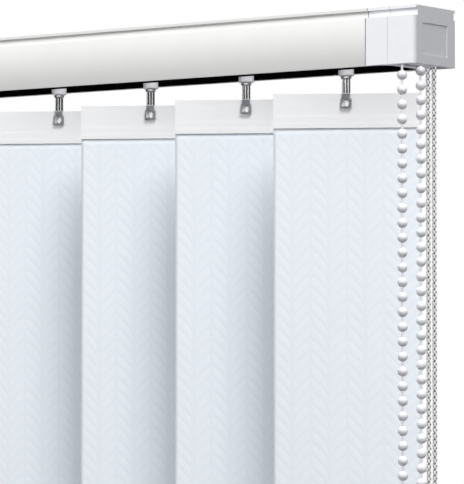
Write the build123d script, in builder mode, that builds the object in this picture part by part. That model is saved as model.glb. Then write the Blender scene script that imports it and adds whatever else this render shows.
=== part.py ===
from build123d import *
import math
import os

os.makedirs("parts", exist_ok=True)

# A vertical blind: a head rail that hangs by its top lips, a row of carriers inside it, a fabric vane
# hung from each carrier, a bead chain that turns the vanes and an endless cord that draws them across.
# Millimetres. X runs along the rail with the controls at +X, -Y is the room side and +Z is up.
# The origin is the middle of the rail's top face.

# ------------------------------------------------------------------ driving dimensions
# The row of vanes
vane_count = 6
vane_pitch = 75.0           # stem to stem with the blind drawn across
vane_width = 89.0
vane_drop = 1000.0          # top of the rail to the foot of the vanes
vane_angle = 30.0           # turn of the vanes from the line of the rail, as hung
end_margin = 29.5           # last stem to the end of the rail, at each end
fabric_thick = 0.5

# The rail's section, as half widths from its middle plane and depths below its top
rail_height = 34.5
rail_wall = 1.5
lip_half = 21.2
lip_thick = 1.6
neck_half = 19.8
shoulder_drop = 6.0
shoulder_half = 22.0
bulge_half = 23.6
foot_half = 21.4
foot_lip = 0.5              # in-turned edge at the foot of each wall
flange_rise = 3.5           # top of the inner ledges above the foot of the rail
flange_thick = 1.4
flange_half_gap = 7.8

# Black liners that wrap the inner ledges and close the underside
liner_half_gap = 6.4
liner_web = 1.2
liner_plate = 1.6
liner_recess = 0.3          # face of the liners above the foot of the rail
liner_top_thick = 1.0
liner_top_reach = 12.0
liner_reach = 13.0          # how far the liners run in under the control end
liner_corner = 9.0

# End pieces
cap_half = 23.3
cap_wall = 1.8
far_cap_length = 14.0
control_body_length = 16.0
control_cap_length = 19.1
corner_radius = 3.0
tongue_length = 7.0
tongue_root = 4.0
tongue_thick = 1.3
panel_size = (27.5, 19.0)   # shallow panel in the face of the control end
panel_place = (-1.0, -19.5)
panel_corner = 1.0
panel_recess = 0.5
web_thick = 1.3             # web between the chain wheel and the cord pulleys
web_gap = 0.8
chain_way = 1.0             # room round the chain where it leaves the control end
chain_slack = 0.4
cord_window = 13.0          # way out for the cord, along the rail
cord_window_shift = 3.0
cord_way = 1.3

# Tilt rod and worms
rod_radius = 2.8
rod_offset = -7.4
rod_rise = 10.1             # above the foot of the carriers
flute_radius = 0.9
flute_circle = 3.0
worm_radius = 4.0
worm_length = 12.0
gear_radius = 3.1
gear_teeth = 12
gear_height = 5.0
gear_root = 0.5
gear_tooth = (0.8, 0.7)
bearing_wall = 2.2
bearing_setback = 2.0
rod_flutes = 3
key_gap = 0.25
rim_reach = 2.4             # rim of a chain wheel outside the middle of its beads
notch_reach = 1.2

# Carriers
carrier_length = 18.0
carrier_half = 19.6
carrier_front = 12.6
carrier_height = 21.0
foot_height = 2.0
collar_radius = 4.8
collar_drop = 3.1           # collar below the foot of the rail
stem_shaft_radius = 2.0
carrier_roof = 0.8
carrier_round = 1.2
collar_round = 0.9
worm_lip = 0.8              # lips that keep a worm in its pocket

# Spacer strips that draw the carriers out one after another
spacer_thick = 0.4
spacer_step = 0.8           # each strip runs at a level of its own
spacer_width = 6.0
spacer_overrun = 12.0
spacer_slack = 0.4
stud_radius = 1.2
stud_inset = 2.6
stud_margin = 2.0

# Stem, jaws and hanger
flare_radius = 3.3
flare_height = 1.5
flare_taper = 28
stem_width = 5.0
stem_depth = 4.4
stem_corner = 0.5
groove_width = 0.7          # two grooves down the front and back of a stem
groove_depth = 0.5
groove_offset = 0.95
jaw_thick = 1.25
jaw_clearance = 0.15
jaw_lead = 0.4
clip_width = 6.8
clip_height = 6.4
clip_thick = 1.45
peg_radius = 1.5
peg_drop = 6.0              # top of the hanger to its peg
peg_gap = 0.25
hanger_drop = 13.6          # foot of the rail to the top of the hanger
hanger_height = 20.9
hanger_thick = 1.6
hanger_ridges = (13.6, 18.0)
ridge_step = 0.15
fabric_slot_depth = 6.4
fabric_grip = 0.1

# Foot of each vane
pocket_height = 40.0
pocket_slope = 3.0
weight_thick = 1.4
weight_inset = 2.5
weight_corner = 2.0

# Bead chain
bead_diameter = 6.0
bead_pitch = 8.8
sprocket_beads = 7
chain_inset = 22.5          # end of the rail to the plane of the chain
chain_drop = 700.0
wheel_flange = 0.8
chain_weight_half = 5.8
chain_weight_wall = 2.0
chain_weight_tail = 30.0
chain_weight_round = 5.0
chain_weight_edge = 0.8
chain_cavity_half = 4.4

# Traverse cord
cord_diameter = 2.8
cord_y = (10.9, 17.5)
cord_rise = 15.6            # above the foot of the carriers
pulley_radius = 4.5
pulley_half = 2.5
pulley_flange = 0.8
rim_rise = 0.4
far_pulley_inset = 5.5
small_rim_rise = 0.3
cord_weight_drop = 780.0
cord_weight_half = 4.6
cord_weight_wall = 2.2
cord_weight_tail = 28.0
cord_weight_round = 3.0
cord_weight_edge = 0.7
cord_cavity_half = 2.8
cord_cavity_rise = 20.0
pin_radius = 0.9            # pins of the two small wheels
pin_stand = 1.5
pivot_radius = 1.5          # pins of the other wheels
pivot_setback = 0.4

# Clearances
slide_gap = 0.2
running_gap = 0.3
cord_gap = 0.5
groove_gap = 0.15
pin_gap = 0.1
bite = 0.3                  # how far one feature of a piece runs into the next
overcut = 1.0               # how far a cut runs past the face that it opens

# ------------------------------------------------------------------ places worked out from them
rail_length = (vane_count - 1) * vane_pitch + 2 * end_margin
rail_start = -rail_length / 2
rail_end = rail_length / 2
stations = [rail_start + end_margin + k * vane_pitch for k in range(vane_count)]

flange_top = -rail_height + flange_rise
liner_top = flange_top + slide_gap + liner_top_thick
carrier_bottom = liner_top + slide_gap
rod_z = carrier_bottom + rod_rise
cord_z = carrier_bottom + cord_rise
carrier_top = carrier_bottom + carrier_height
gear_bottom = rod_z - gear_height / 2
collar_bottom = -rail_height - collar_drop
hanger_top = -rail_height - hanger_drop
hanger_bottom = hanger_top - hanger_height
channel_top = carrier_top - carrier_roof
channel_bottom = channel_top - (vane_count - 1) * spacer_step - spacer_thick
peg_height = hanger_top - peg_drop
bead_radius = bead_diameter / 2
cord_radius = cord_diameter / 2
chain_x = rail_end + chain_inset
chain_radius = bead_pitch / 2 / math.sin(math.pi / sprocket_beads)
pulley_x = chain_x - pulley_radius
pulley_z = cord_z - pulley_radius
far_pulley_x = rail_start - far_pulley_inset
cord_mid = sum(cord_y) / 2
return_radius = (cord_y[1] - cord_y[0]) / 2
control_body_end = rail_end + control_body_length
control_end = control_body_end + control_cap_length
far_end = rail_start - far_cap_length

across = Vector(math.cos(math.radians(vane_angle)), math.sin(math.radians(vane_angle)), 0)
behind = Vector(-math.sin(math.radians(vane_angle)), math.cos(math.radians(vane_angle)), 0)

# Outline shared by the end pieces, and the hollow inside it
cap_side = [
    (lip_half, 0),
    (lip_half, -lip_thick),
    (neck_half, -lip_thick),
    (neck_half, -shoulder_drop),
    (cap_half, -shoulder_drop),
    (cap_half, -rail_height),
]
cap_outline = cap_side + [(-y, z) for y, z in reversed(cap_side)]
hollow_side = [
    (neck_half - cap_wall, -cap_wall),
    (neck_half - cap_wall, -shoulder_drop - cap_wall),
    (cap_half - cap_wall, -shoulder_drop - cap_wall),
    (cap_half - cap_wall, -rail_height + cap_wall),
]
cap_hollow = hollow_side + [(-y, z) for y, z in reversed(hollow_side)]
rail_tongue_half = neck_half - rail_wall - slide_gap
cap_tongue_half = neck_half - cap_wall - slide_gap


def tongue_outline(edge, out, mate_wall):
    """Side view of a tongue: rooted under its own top wall, it reaches out below its neighbour's."""
    root = edge - out * tongue_root
    tip = edge + out * tongue_length
    low = -mate_wall - slide_gap - tongue_thick
    high = -mate_wall - slide_gap
    own = -cap_wall + bite
    return [(root, own), (edge, own), (edge, high), (tip, high), (tip, low), (root, low)]


def save(piece, label):
    """Label a finished piece and write it as its own STEP file."""
    piece.part.label = label
    export_step(piece.part, f"parts/{label}.step")


def across_plane(x, offset=0.0):
    """Plane square to a vane, facing along its width, at one stem."""
    return Plane(origin=Vector(x, 0, 0) + across * offset, x_dir=behind, z_dir=across)


def facing_plane(x, offset=0.0):
    """Plane parallel to a vane, facing the room, at one stem."""
    return Plane(origin=Vector(x, 0, 0) - behind * offset, x_dir=across, z_dir=behind * -1)


def upright_plane(x, z):
    """Level plane at one stem, turned with its vane."""
    return Plane(origin=(x, 0, z), x_dir=across, z_dir=(0, 0, 1))


# ------------------------------------------------------------------ head rail
with BuildPart() as head_rail:
    with BuildSketch(Plane.YZ.offset(rail_start)):
        with BuildLine():
            Polyline(
                (0, 0), (lip_half, 0), (lip_half, -lip_thick), (neck_half, -lip_thick),
                (neck_half, -shoulder_drop), (shoulder_half, -shoulder_drop),
            )
            ThreePointArc(
                (shoulder_half, -shoulder_drop),
                (bulge_half, -(shoulder_drop + rail_height) / 2),
                (foot_half, -rail_height),
            )
            Polyline((foot_half, -rail_height), (0, -rail_height), (0, 0))
        make_face()
        mirror(about=Plane.YZ)
        offset(amount=-rail_wall, kind=Kind.INTERSECTION, mode=Mode.SUBTRACT)
        with Locations((0, -rail_height)):
            Rectangle(2 * (foot_half - rail_wall - foot_lip), 2 * rail_wall + 1, mode=Mode.SUBTRACT)
        for side in (-1, 1):
            ledge_width = foot_half - rail_wall / 2 - flange_half_gap
            with Locations((side * (flange_half_gap + ledge_width / 2), flange_top - flange_thick / 2)):
                Rectangle(ledge_width, flange_thick)
    extrude(amount=rail_length)
save(head_rail, "head_rail")

# Black liners: one wraps each ledge, closes the underside and gives the carriers a face to slide on
for side, label in ((-1, "track_liner_front"), (1, "track_liner_back")):
    liner_foot = -rail_height + liner_recess
    liner_outer = foot_half - rail_wall - foot_lip - slide_gap
    plate_top = flange_top - flange_thick - slide_gap
    section = [
        (liner_half_gap, liner_foot),
        (liner_outer, liner_foot),
        (liner_outer, plate_top),
        (liner_half_gap + liner_web, plate_top),
        (liner_half_gap + liner_web, flange_top + slide_gap),
        (liner_top_reach, flange_top + slide_gap),
        (liner_top_reach, liner_top),
        (liner_half_gap, liner_top),
    ]
    with BuildPart() as track_liner:
        with BuildSketch(Plane.YZ.offset(rail_start)):
            with BuildLine():
                Polyline(*[(side * y, z) for y, z in section], close=True)
            make_face()
        extrude(amount=rail_length + liner_reach)
        end_edges = track_liner.edges().filter_by(Axis.Z).group_by(Axis.X)[-1].sort_by(Axis.Y)
        fillet(end_edges[-1] if side > 0 else end_edges[0], radius=liner_corner)
    save(track_liner, label)

# ------------------------------------------------------------------ end pieces
# Far end: a closed cap that carries the rod's end and the cord's return pulley
with BuildPart() as far_cap:
    with BuildSketch(Plane.YZ.offset(far_end)):
        with BuildLine():
            Polyline(*cap_outline, close=True)
        make_face()
    extrude(amount=far_cap_length)
    outer_corners = far_cap.edges().filter_by(Axis.Z).group_by(Axis.X)[0]
    fillet([e for e in outer_corners if abs(e.center().Y) > (lip_half + cap_half) / 2], radius=corner_radius)
    with BuildSketch(Plane.YZ.offset(far_end + cap_wall)):
        with BuildLine():
            Polyline(*cap_hollow, close=True)
        make_face()
    extrude(amount=far_cap_length, mode=Mode.SUBTRACT)
    with BuildSketch(Plane.YZ.offset(far_end + cap_wall)):
        with Locations((rod_offset, rod_z)):
            Circle(rod_radius + slide_gap + bearing_wall)
    extrude(amount=far_cap_length - cap_wall - bearing_setback)
    with BuildSketch(Plane.YZ.offset(far_end + cap_wall)):
        with Locations((rod_offset, rod_z)):
            Circle(rod_radius + slide_gap)
    extrude(amount=far_cap_length, mode=Mode.SUBTRACT)
    with BuildSketch(Plane.XY.offset(-rail_height + cap_wall)):
        with Locations((far_pulley_x, cord_mid)):
            Circle(pin_radius + bearing_wall)
    extrude(amount=rail_height - cap_wall + cord_z - cord_radius - pulley_flange - 3 * slide_gap)
    with BuildSketch(Plane.XY.offset(-rail_height + cap_wall)):
        with Locations((far_pulley_x, cord_mid)):
            Circle(pin_radius)
    extrude(amount=rail_height, mode=Mode.SUBTRACT)
    with BuildSketch(Plane.XZ):
        with BuildLine():
            Polyline(*tongue_outline(rail_start, 1, rail_wall), close=True)
        make_face()
    extrude(amount=rail_tongue_half, both=True)
save(far_cap, "far_end_cap")

# Control end, first section: an open sleeve that plugs into the rail
with BuildPart() as control_body:
    with BuildSketch(Plane.YZ.offset(rail_end)):
        with BuildLine():
            Polyline(*cap_outline, close=True)
        make_face()
        with BuildLine():
            Polyline(*cap_hollow, close=True)
        make_face(mode=Mode.SUBTRACT)
    extrude(amount=control_body_length)
    with BuildSketch(Plane.XY.offset(-rail_height - overcut)) as liner_window:
        with Locations((rail_end, 0)):
            Rectangle(2 * (liner_reach + running_gap), 2 * (foot_half - rail_wall - foot_lip + slide_gap))
        fillet(liner_window.vertices(), radius=liner_corner + running_gap)
    extrude(amount=cap_wall + 2 * overcut, mode=Mode.SUBTRACT)
    with BuildSketch(Plane.XZ):
        with BuildLine():
            Polyline(*tongue_outline(rail_end, -1, rail_wall), close=True)
        make_face()
    extrude(amount=rail_tongue_half, both=True)
save(control_body, "control_housing")

# Control end, second section: closes the end and carries the sprocket and the cord pulleys
with BuildPart() as control_cap:
    with BuildSketch(Plane.YZ.offset(control_body_end)):
        with BuildLine():
            Polyline(*cap_outline, close=True)
        make_face()
    extrude(amount=control_cap_length)
    outer_corners = control_cap.edges().filter_by(Axis.Z).group_by(Axis.X)[-1]
    fillet([e for e in outer_corners if abs(e.center().Y) > (lip_half + cap_half) / 2], radius=corner_radius)
    with BuildSketch(Plane.YZ.offset(control_body_end)):
        with BuildLine():
            Polyline(*cap_hollow, close=True)
        make_face()
    extrude(amount=control_cap_length - cap_wall, mode=Mode.SUBTRACT)
    # shallow panel in the end face
    with BuildSketch(Plane.YZ.offset(control_end)):
        with Locations(panel_place):
            RectangleRounded(*panel_size, panel_corner)
    extrude(amount=-panel_recess, mode=Mode.SUBTRACT)
    # web between the chain wheel and the cord pulleys
    web_y = rod_offset + chain_radius + bead_radius + web_gap
    with BuildSketch(Plane.XZ.offset(-web_y)):
        with BuildLine():
            Polyline(
                (control_body_end + slide_gap, -rail_height + cap_wall),
                (control_end - cap_wall, -rail_height + cap_wall),
                (control_end - cap_wall, -shoulder_drop - cap_wall),
                (control_body_end + slide_gap, -shoulder_drop - cap_wall),
                close=True,
            )
        make_face()
    extrude(amount=-web_thick)
    # post for the two cord pulleys, from the web to the back wall
    with BuildSketch(Plane.XZ.offset(-web_y)):
        with Locations((pulley_x, pulley_z)):
            Circle(pivot_radius)
    extrude(amount=-(cap_half - cap_wall - web_y))
    # bearing for the rod's end
    with BuildSketch(Plane.YZ.offset(control_end - cap_wall)):
        with Locations((rod_offset, rod_z)):
            Circle(rod_radius + slide_gap + bearing_wall)
            Circle(rod_radius + slide_gap, mode=Mode.SUBTRACT)
    extrude(amount=-(control_end - cap_wall - chain_x - bead_radius - wheel_flange - 2 * running_gap))
    # ways out for the chain and the cord
    with BuildSketch(Plane.XY.offset(-rail_height - overcut)):
        with Locations((chain_x, rod_offset)):
            Rectangle(bead_diameter + 2 * chain_way, 2 * (chain_radius + bead_radius + chain_slack))
        with Locations((chain_x + cord_window_shift, cord_mid)):
            Rectangle(cord_window, cord_y[1] - cord_y[0] + cord_diameter + 2 * cord_way)
    extrude(amount=cap_wall + overcut, mode=Mode.SUBTRACT)
    # tongue into the first section
    with BuildSketch(Plane.XZ):
        with BuildLine():
            Polyline(*tongue_outline(control_body_end, -1, cap_wall), close=True)
        make_face()
    extrude(amount=cap_tongue_half, both=True)
save(control_cap, "control_end_cap")

# ------------------------------------------------------------------ tilt drive
rod_start = far_end + cap_wall + slide_gap
rod_stop = control_end - cap_wall - slide_gap
with BuildPart() as tilt_rod:
    with BuildSketch(Plane.YZ.offset(rod_start)):
        with Locations((rod_offset, rod_z)):
            Circle(rod_radius)
            with PolarLocations(flute_circle, rod_flutes):
                Circle(flute_radius, mode=Mode.SUBTRACT)
    extrude(amount=rod_stop - rod_start)
save(tilt_rod, "tilt_rod")

key_radius = flute_radius - key_gap
bore_radius = rod_radius + key_gap
groove_radius = chain_radius - bead_radius - running_gap
groove_half = bead_radius + running_gap
rim_radius = chain_radius + rim_reach


def wheel_sections(x):
    """Widths of a chain wheel from its left face: rim, groove and rim, as (start, width, radius)."""
    left = x - groove_half - wheel_flange
    return [(left, wheel_flange, rim_radius), (left + wheel_flange, 2 * groove_half, groove_radius),
            (x + groove_half, wheel_flange, rim_radius)]


with BuildPart() as chain_sprocket:
    for start, width, radius in wheel_sections(chain_x):
        with BuildSketch(Plane.YZ.offset(start)):
            with Locations((rod_offset, rod_z)):
                Circle(radius)
                if radius == rim_radius:
                    with PolarLocations(rim_radius + notch_reach, sprocket_beads):
                        Circle(bead_radius, mode=Mode.SUBTRACT)
        extrude(amount=width)
    with BuildSketch(Plane.YZ.offset(chain_x - groove_half - wheel_flange)):
        with Locations((rod_offset, rod_z)):
            Circle(bore_radius)
            with PolarLocations(flute_circle, rod_flutes):
                Circle(key_radius, mode=Mode.SUBTRACT)
    extrude(amount=2 * (groove_half + wheel_flange), mode=Mode.SUBTRACT)
save(chain_sprocket, "chain_sprocket")

# ------------------------------------------------------------------ carriers, worms, stems and vanes
pocket_radius = worm_radius + running_gap
cord_hole = cord_radius + cord_gap


def make_carrier(x):
    """Moulded carrier: it slides on the liners and holds a worm, a stem and the cords' guides."""
    with BuildPart() as carrier:
        with BuildSketch(Plane.XY.offset(carrier_bottom)):
            with Locations((x, 0)):
                Rectangle(carrier_length, 2 * carrier_half)
        extrude(amount=foot_height)
        with BuildSketch(Plane.XY.offset(carrier_bottom)):
            with Locations((x, (carrier_half - carrier_front) / 2)):
                Rectangle(carrier_length, carrier_half + carrier_front)
        extrude(amount=carrier_height)
        fillet(carrier.edges().filter_by(Axis.Z), radius=carrier_round)
        with BuildSketch(Plane.XY.offset(collar_bottom)):
            with Locations((x, 0)):
                Circle(collar_radius)
        extrude(amount=carrier_bottom - collar_bottom)
        fillet(carrier.edges().group_by(Axis.Z)[0], radius=collar_round)
        # worm pocket, open to the front so that the worm snaps in, and the rod's way through
        with BuildSketch(Plane.YZ.offset(x - worm_length / 2 - slide_gap)):
            with Locations((rod_offset, rod_z)):
                Circle(pocket_radius)
            with Locations((rod_offset - carrier_front / 2, rod_z)):
                Rectangle(carrier_front, 2 * (worm_radius - worm_lip))
        extrude(amount=worm_length + 2 * slide_gap, mode=Mode.SUBTRACT)
        with BuildSketch(Plane.YZ.offset(x - carrier_length / 2)):
            with Locations((rod_offset, rod_z)):
                Circle(rod_radius + cord_gap)
            with Locations((cord_y[0], cord_z), (cord_y[1], cord_z)):
                Circle(cord_hole)
            with Locations((cord_y[1] + carrier_half / 2, cord_z)):
                Rectangle(carrier_half, 2 * cord_hole)
            with Locations((0, (channel_top + channel_bottom) / 2)):
                Rectangle(spacer_width + 2 * spacer_slack, channel_top - channel_bottom)
        extrude(amount=carrier_length, mode=Mode.SUBTRACT)
        # stem: gear well from above, shaft bore through the collar
        with BuildSketch(Plane.XY.offset(gear_bottom - slide_gap)):
            with Locations((x, 0)):
                Circle(gear_radius + running_gap)
        extrude(amount=carrier_top - gear_bottom + overcut, mode=Mode.SUBTRACT)
        with BuildSketch(Plane.XY.offset(collar_bottom)):
            with Locations((x, 0)):
                Circle(stem_shaft_radius + slide_gap)
        extrude(amount=gear_bottom - collar_bottom, mode=Mode.SUBTRACT)
        # hole for the spacer's stud
        with BuildSketch(Plane.XY.offset(channel_top - overcut)):
            with Locations((x + carrier_length / 2 - stud_inset, 0)):
                Circle(stud_radius + slide_gap)
        extrude(amount=carrier_roof + 2 * overcut, mode=Mode.SUBTRACT)
    return carrier


def make_worm(x):
    """Worm core that slides along the fluted rod and turns with it."""
    with BuildPart() as worm:
        with BuildSketch(Plane.YZ.offset(x - worm_length / 2)):
            with Locations((rod_offset, rod_z)):
                Circle(worm_radius)
                Circle(bore_radius, mode=Mode.SUBTRACT)
                with PolarLocations(flute_circle, rod_flutes):
                    Circle(key_radius)
        extrude(amount=worm_length)
    return worm


def make_stem(x):
    """Clear stem: gear in the carrier, ribbed neck below it and two jaws that hold the hanger."""
    jaw_gap = hanger_thick / 2 + jaw_clearance
    jaw_top = hanger_top + jaw_lead
    jaw_foot = peg_height - clip_height / 2
    neck_top = collar_bottom - slide_gap - flare_height + bite
    with BuildPart() as stem:
        with BuildSketch(upright_plane(x, gear_bottom)):
            Circle(gear_radius - gear_root)
            with PolarLocations(gear_radius - gear_tooth[0] / 2, gear_teeth):
                Rectangle(*gear_tooth)
        extrude(amount=gear_height)
        with BuildSketch(upright_plane(x, collar_bottom - slide_gap)):
            Circle(stem_shaft_radius)
        extrude(amount=gear_bottom - collar_bottom + slide_gap)
        with BuildSketch(upright_plane(x, collar_bottom - slide_gap)):
            Circle(flare_radius)
        extrude(amount=-flare_height, taper=flare_taper)
        with BuildSketch(upright_plane(x, neck_top)):
            RectangleRounded(stem_width, stem_depth, stem_corner)
            for side in (-1, 1):
                edge = side * stem_depth / 2
                with Locations((-groove_offset, edge), (groove_offset, edge)):
                    Rectangle(groove_width, 2 * groove_depth, mode=Mode.SUBTRACT)
        extrude(amount=-(neck_top - jaw_top))
        for side in (-1, 1):
            with BuildSketch(facing_plane(x, side * (jaw_gap + jaw_thick / 2))):
                with Locations((0, (jaw_top + jaw_foot) / 2)):
                    Rectangle(stem_width, jaw_top - jaw_foot)
            extrude(amount=jaw_thick / 2, both=True)
        with BuildSketch(facing_plane(x, jaw_gap)):
            with Locations((0, peg_height)):
                RectangleRounded(clip_width, clip_height, stem_corner)
        extrude(amount=clip_thick)
        with BuildSketch(facing_plane(x, jaw_gap)):
            with Locations((0, peg_height)):
                Circle(peg_radius)
        extrude(amount=-(jaw_gap + hanger_thick / 2 - slide_gap))
    return stem


def make_hanger(x):
    """Moulded strip along the head of a vane, stepped where it grips the fabric."""
    half = hanger_thick / 2
    first = hanger_top - hanger_ridges[0]
    second = hanger_top - hanger_ridges[1]
    slot = fabric_thick / 2 + fabric_grip
    side = [
        (half, hanger_top),
        (half, first),
        (half + ridge_step, first),
        (half + ridge_step, second),
        (half + 2 * ridge_step, second),
        (half + 2 * ridge_step, hanger_bottom),
        (slot, hanger_bottom),
        (slot, hanger_bottom + fabric_slot_depth),
    ]
    with BuildPart() as hanger:
        with BuildSketch(across_plane(x, -vane_width / 2)):
            with BuildLine():
                Polyline(*(side + [(-y, z) for y, z in reversed(side)]), close=True)
            make_face()
        extrude(amount=vane_width)
        with BuildSketch(facing_plane(x, hanger_thick)):
            with Locations((0, peg_height)):
                Circle(peg_radius + peg_gap)
        extrude(amount=-2 * hanger_thick, mode=Mode.SUBTRACT)
    return hanger


pocket_half = weight_thick / 2 + running_gap
pocket_foot = -vane_drop + fabric_thick
pocket_head = -vane_drop + pocket_height
fabric_head = hanger_bottom + fabric_slot_depth - running_gap


def make_vane(x):
    """Fabric vane with the sewn pocket for its weight at the foot."""
    half = fabric_thick / 2
    side = [
        (half, fabric_head),
        (half, pocket_head + pocket_slope),
        (pocket_half + fabric_thick, pocket_head),
        (pocket_half + fabric_thick, -vane_drop),
    ]
    with BuildPart() as vane:
        with BuildSketch(across_plane(x, -vane_width / 2)):
            with BuildLine():
                Polyline(*(side + [(-y, z) for y, z in reversed(side)]), close=True)
            make_face()
            with Locations((0, (pocket_foot + pocket_head) / 2)):
                Rectangle(2 * pocket_half, pocket_head - pocket_foot, mode=Mode.SUBTRACT)
        extrude(amount=vane_width)
    return vane


def make_weight(x):
    """Flat weight in the pocket at the foot of a vane."""
    height = pocket_head - pocket_foot - 2 * running_gap
    with BuildPart() as weight:
        with BuildSketch(facing_plane(x, -weight_thick / 2)):
            with Locations((0, (pocket_foot + pocket_head) / 2)):
                RectangleRounded(vane_width - 2 * weight_inset, height, weight_corner)
        extrude(amount=weight_thick)
    return weight


def make_spacer(x, level):
    """Thin strip fixed in one carrier that runs through the next one towards the far end."""
    strip_top = channel_top - spacer_thick - level * spacer_step
    stud_x = x + carrier_length / 2 - stud_inset
    strip_start = stud_x + stud_margin
    strip_end = x - vane_pitch - spacer_overrun
    with BuildPart() as spacer:
        with BuildSketch(Plane.XY.offset(strip_top - spacer_thick)):
            with Locations(((strip_start + strip_end) / 2, 0)):
                Rectangle(strip_start - strip_end, spacer_width)
        extrude(amount=spacer_thick)
        with BuildSketch(Plane.XY.offset(strip_top)):
            with Locations((stud_x, 0)):
                Circle(stud_radius)
        extrude(amount=carrier_top - strip_top)
    return spacer


for k, x in enumerate(stations):
    number = k + 1
    save(make_carrier(x), f"carrier_{number}")
    save(make_worm(x), f"worm_{number}")
    save(make_stem(x), f"stem_{number}")
    save(make_hanger(x), f"hanger_{number}")
    save(make_vane(x), f"vane_{number}")
    save(make_weight(x), f"vane_weight_{number}")
    if k > 0:
        save(make_spacer(x, k - 1), f"spacer_{number}")

# ------------------------------------------------------------------ cord pulleys
cord_groove = pulley_radius - cord_radius - groove_gap
for y, label in ((cord_y[0], "cord_pulley_front"), (cord_y[1], "cord_pulley_back")):
    with BuildPart() as cord_pulley:
        with BuildSketch(Plane.XZ.offset(-y)):
            with Locations((pulley_x, pulley_z)):
                Circle(cord_groove)
        extrude(amount=pulley_half, both=True)
        for side in (-1, 1):
            with BuildSketch(Plane.XZ.offset(-y + side * (cord_radius + slide_gap))):
                with Locations((pulley_x, pulley_z)):
                    Circle(pulley_radius + cord_radius + rim_rise)
            extrude(amount=side * pulley_flange)
        with BuildSketch(Plane.XZ.offset(-y)):
            with Locations((pulley_x, pulley_z)):
                Circle(pivot_radius + slide_gap)
        extrude(amount=pulley_half + overcut, both=True, mode=Mode.SUBTRACT)
    save(cord_pulley, label)

return_groove = return_radius - cord_radius - groove_gap
return_rim = return_radius + cord_radius + small_rim_rise
return_half = cord_radius + slide_gap + pulley_flange
with BuildPart() as return_pulley:
    with BuildSketch(Plane.XY.offset(cord_z)):
        with Locations((far_pulley_x, cord_mid)):
            Circle(return_groove)
    extrude(amount=cord_radius + slide_gap, both=True)
    for side in (-1, 1):
        with BuildSketch(Plane.XY.offset(cord_z + side * (cord_radius + slide_gap))):
            with Locations((far_pulley_x, cord_mid)):
                Circle(return_rim)
        extrude(amount=side * pulley_flange)
    with BuildSketch(Plane.XY.offset(cord_z)):
        with Locations((far_pulley_x, cord_mid)):
            Circle(pin_radius + pin_gap)
    extrude(amount=return_half + overcut, both=True, mode=Mode.SUBTRACT)
save(return_pulley, "return_pulley")

with BuildPart() as return_pin:
    with BuildSketch(Plane.XY.offset(-rail_height + cap_wall)):
        with Locations((far_pulley_x, cord_mid)):
            Circle(pin_radius)
    extrude(amount=rail_height - cap_wall + cord_z + cord_radius + pin_stand)
save(return_pin, "return_pulley_pin")

# ------------------------------------------------------------------ weights on the chain and the cord
chain_foot = -chain_drop
cavity_radius = chain_radius + bead_radius + chain_slack
body_radius = chain_radius + bead_radius + chain_weight_wall
with BuildPart() as chain_weight:
    with BuildSketch(Plane.YZ.offset(chain_x - chain_weight_half)):
        with Locations((rod_offset, chain_foot)):
            Circle(body_radius)
        with Locations((rod_offset, chain_foot - chain_weight_tail / 2)):
            Rectangle(2 * body_radius, chain_weight_tail)
    extrude(amount=2 * chain_weight_half)
    fillet(chain_weight.edges().filter_by(Axis.X).group_by(Axis.Z)[0], radius=chain_weight_round)
    fillet(chain_weight.faces().sort_by(Axis.X)[0].edges(), radius=chain_weight_edge)
    fillet(chain_weight.faces().sort_by(Axis.X)[-1].edges(), radius=chain_weight_edge)
    with BuildSketch(Plane.YZ.offset(chain_x - chain_cavity_half)):
        with Locations((rod_offset, chain_foot)):
            Circle(cavity_radius)
        with Locations((rod_offset, chain_foot + body_radius / 2 + overcut)):
            Rectangle(2 * cavity_radius, body_radius + 2 * overcut)
    extrude(amount=2 * chain_cavity_half, mode=Mode.SUBTRACT)
    with BuildSketch(Plane.YZ.offset(chain_x - chain_weight_half + pivot_setback)):
        with Locations((rod_offset, chain_foot)):
            Circle(pivot_radius)
    extrude(amount=2 * (chain_weight_half - pivot_setback))
save(chain_weight, "chain_weight")

with BuildPart() as chain_weight_wheel:
    for start, width, radius in wheel_sections(chain_x):
        with BuildSketch(Plane.YZ.offset(start)):
            with Locations((rod_offset, chain_foot)):
                Circle(radius)
                Circle(pivot_radius + slide_gap, mode=Mode.SUBTRACT)
        extrude(amount=width)
save(chain_weight_wheel, "chain_weight_wheel")

cord_foot = -cord_weight_drop
with BuildPart() as cord_weight:
    with BuildSketch(Plane.YZ.offset(chain_x - cord_weight_half)):
        with Locations((cord_mid, cord_foot)):
            Circle(return_rim + cord_weight_wall)
        with Locations((cord_mid, cord_foot - cord_weight_tail / 2)):
            Rectangle(2 * (return_rim + cord_weight_wall), cord_weight_tail)
    extrude(amount=2 * cord_weight_half)
    fillet(cord_weight.edges().filter_by(Axis.X).group_by(Axis.Z)[0], radius=cord_weight_round)
    fillet(cord_weight.faces().sort_by(Axis.X)[0].edges(), radius=cord_weight_edge)
    fillet(cord_weight.faces().sort_by(Axis.X)[-1].edges(), radius=cord_weight_edge)
    with BuildSketch(Plane.YZ.offset(chain_x - cord_cavity_half)):
        with Locations((cord_mid, cord_foot)):
            Circle(return_rim + cord_gap)
        with Locations((cord_mid, cord_foot + cord_cavity_rise / 2)):
            Rectangle(2 * (return_rim + cord_gap), cord_cavity_rise)
    extrude(amount=2 * cord_cavity_half, mode=Mode.SUBTRACT)
    with BuildSketch(Plane.YZ.offset(chain_x - cord_weight_half + pivot_setback)):
        with Locations((cord_mid, cord_foot)):
            Circle(pin_radius)
    extrude(amount=2 * (cord_weight_half - pivot_setback))
save(cord_weight, "cord_weight")

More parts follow.
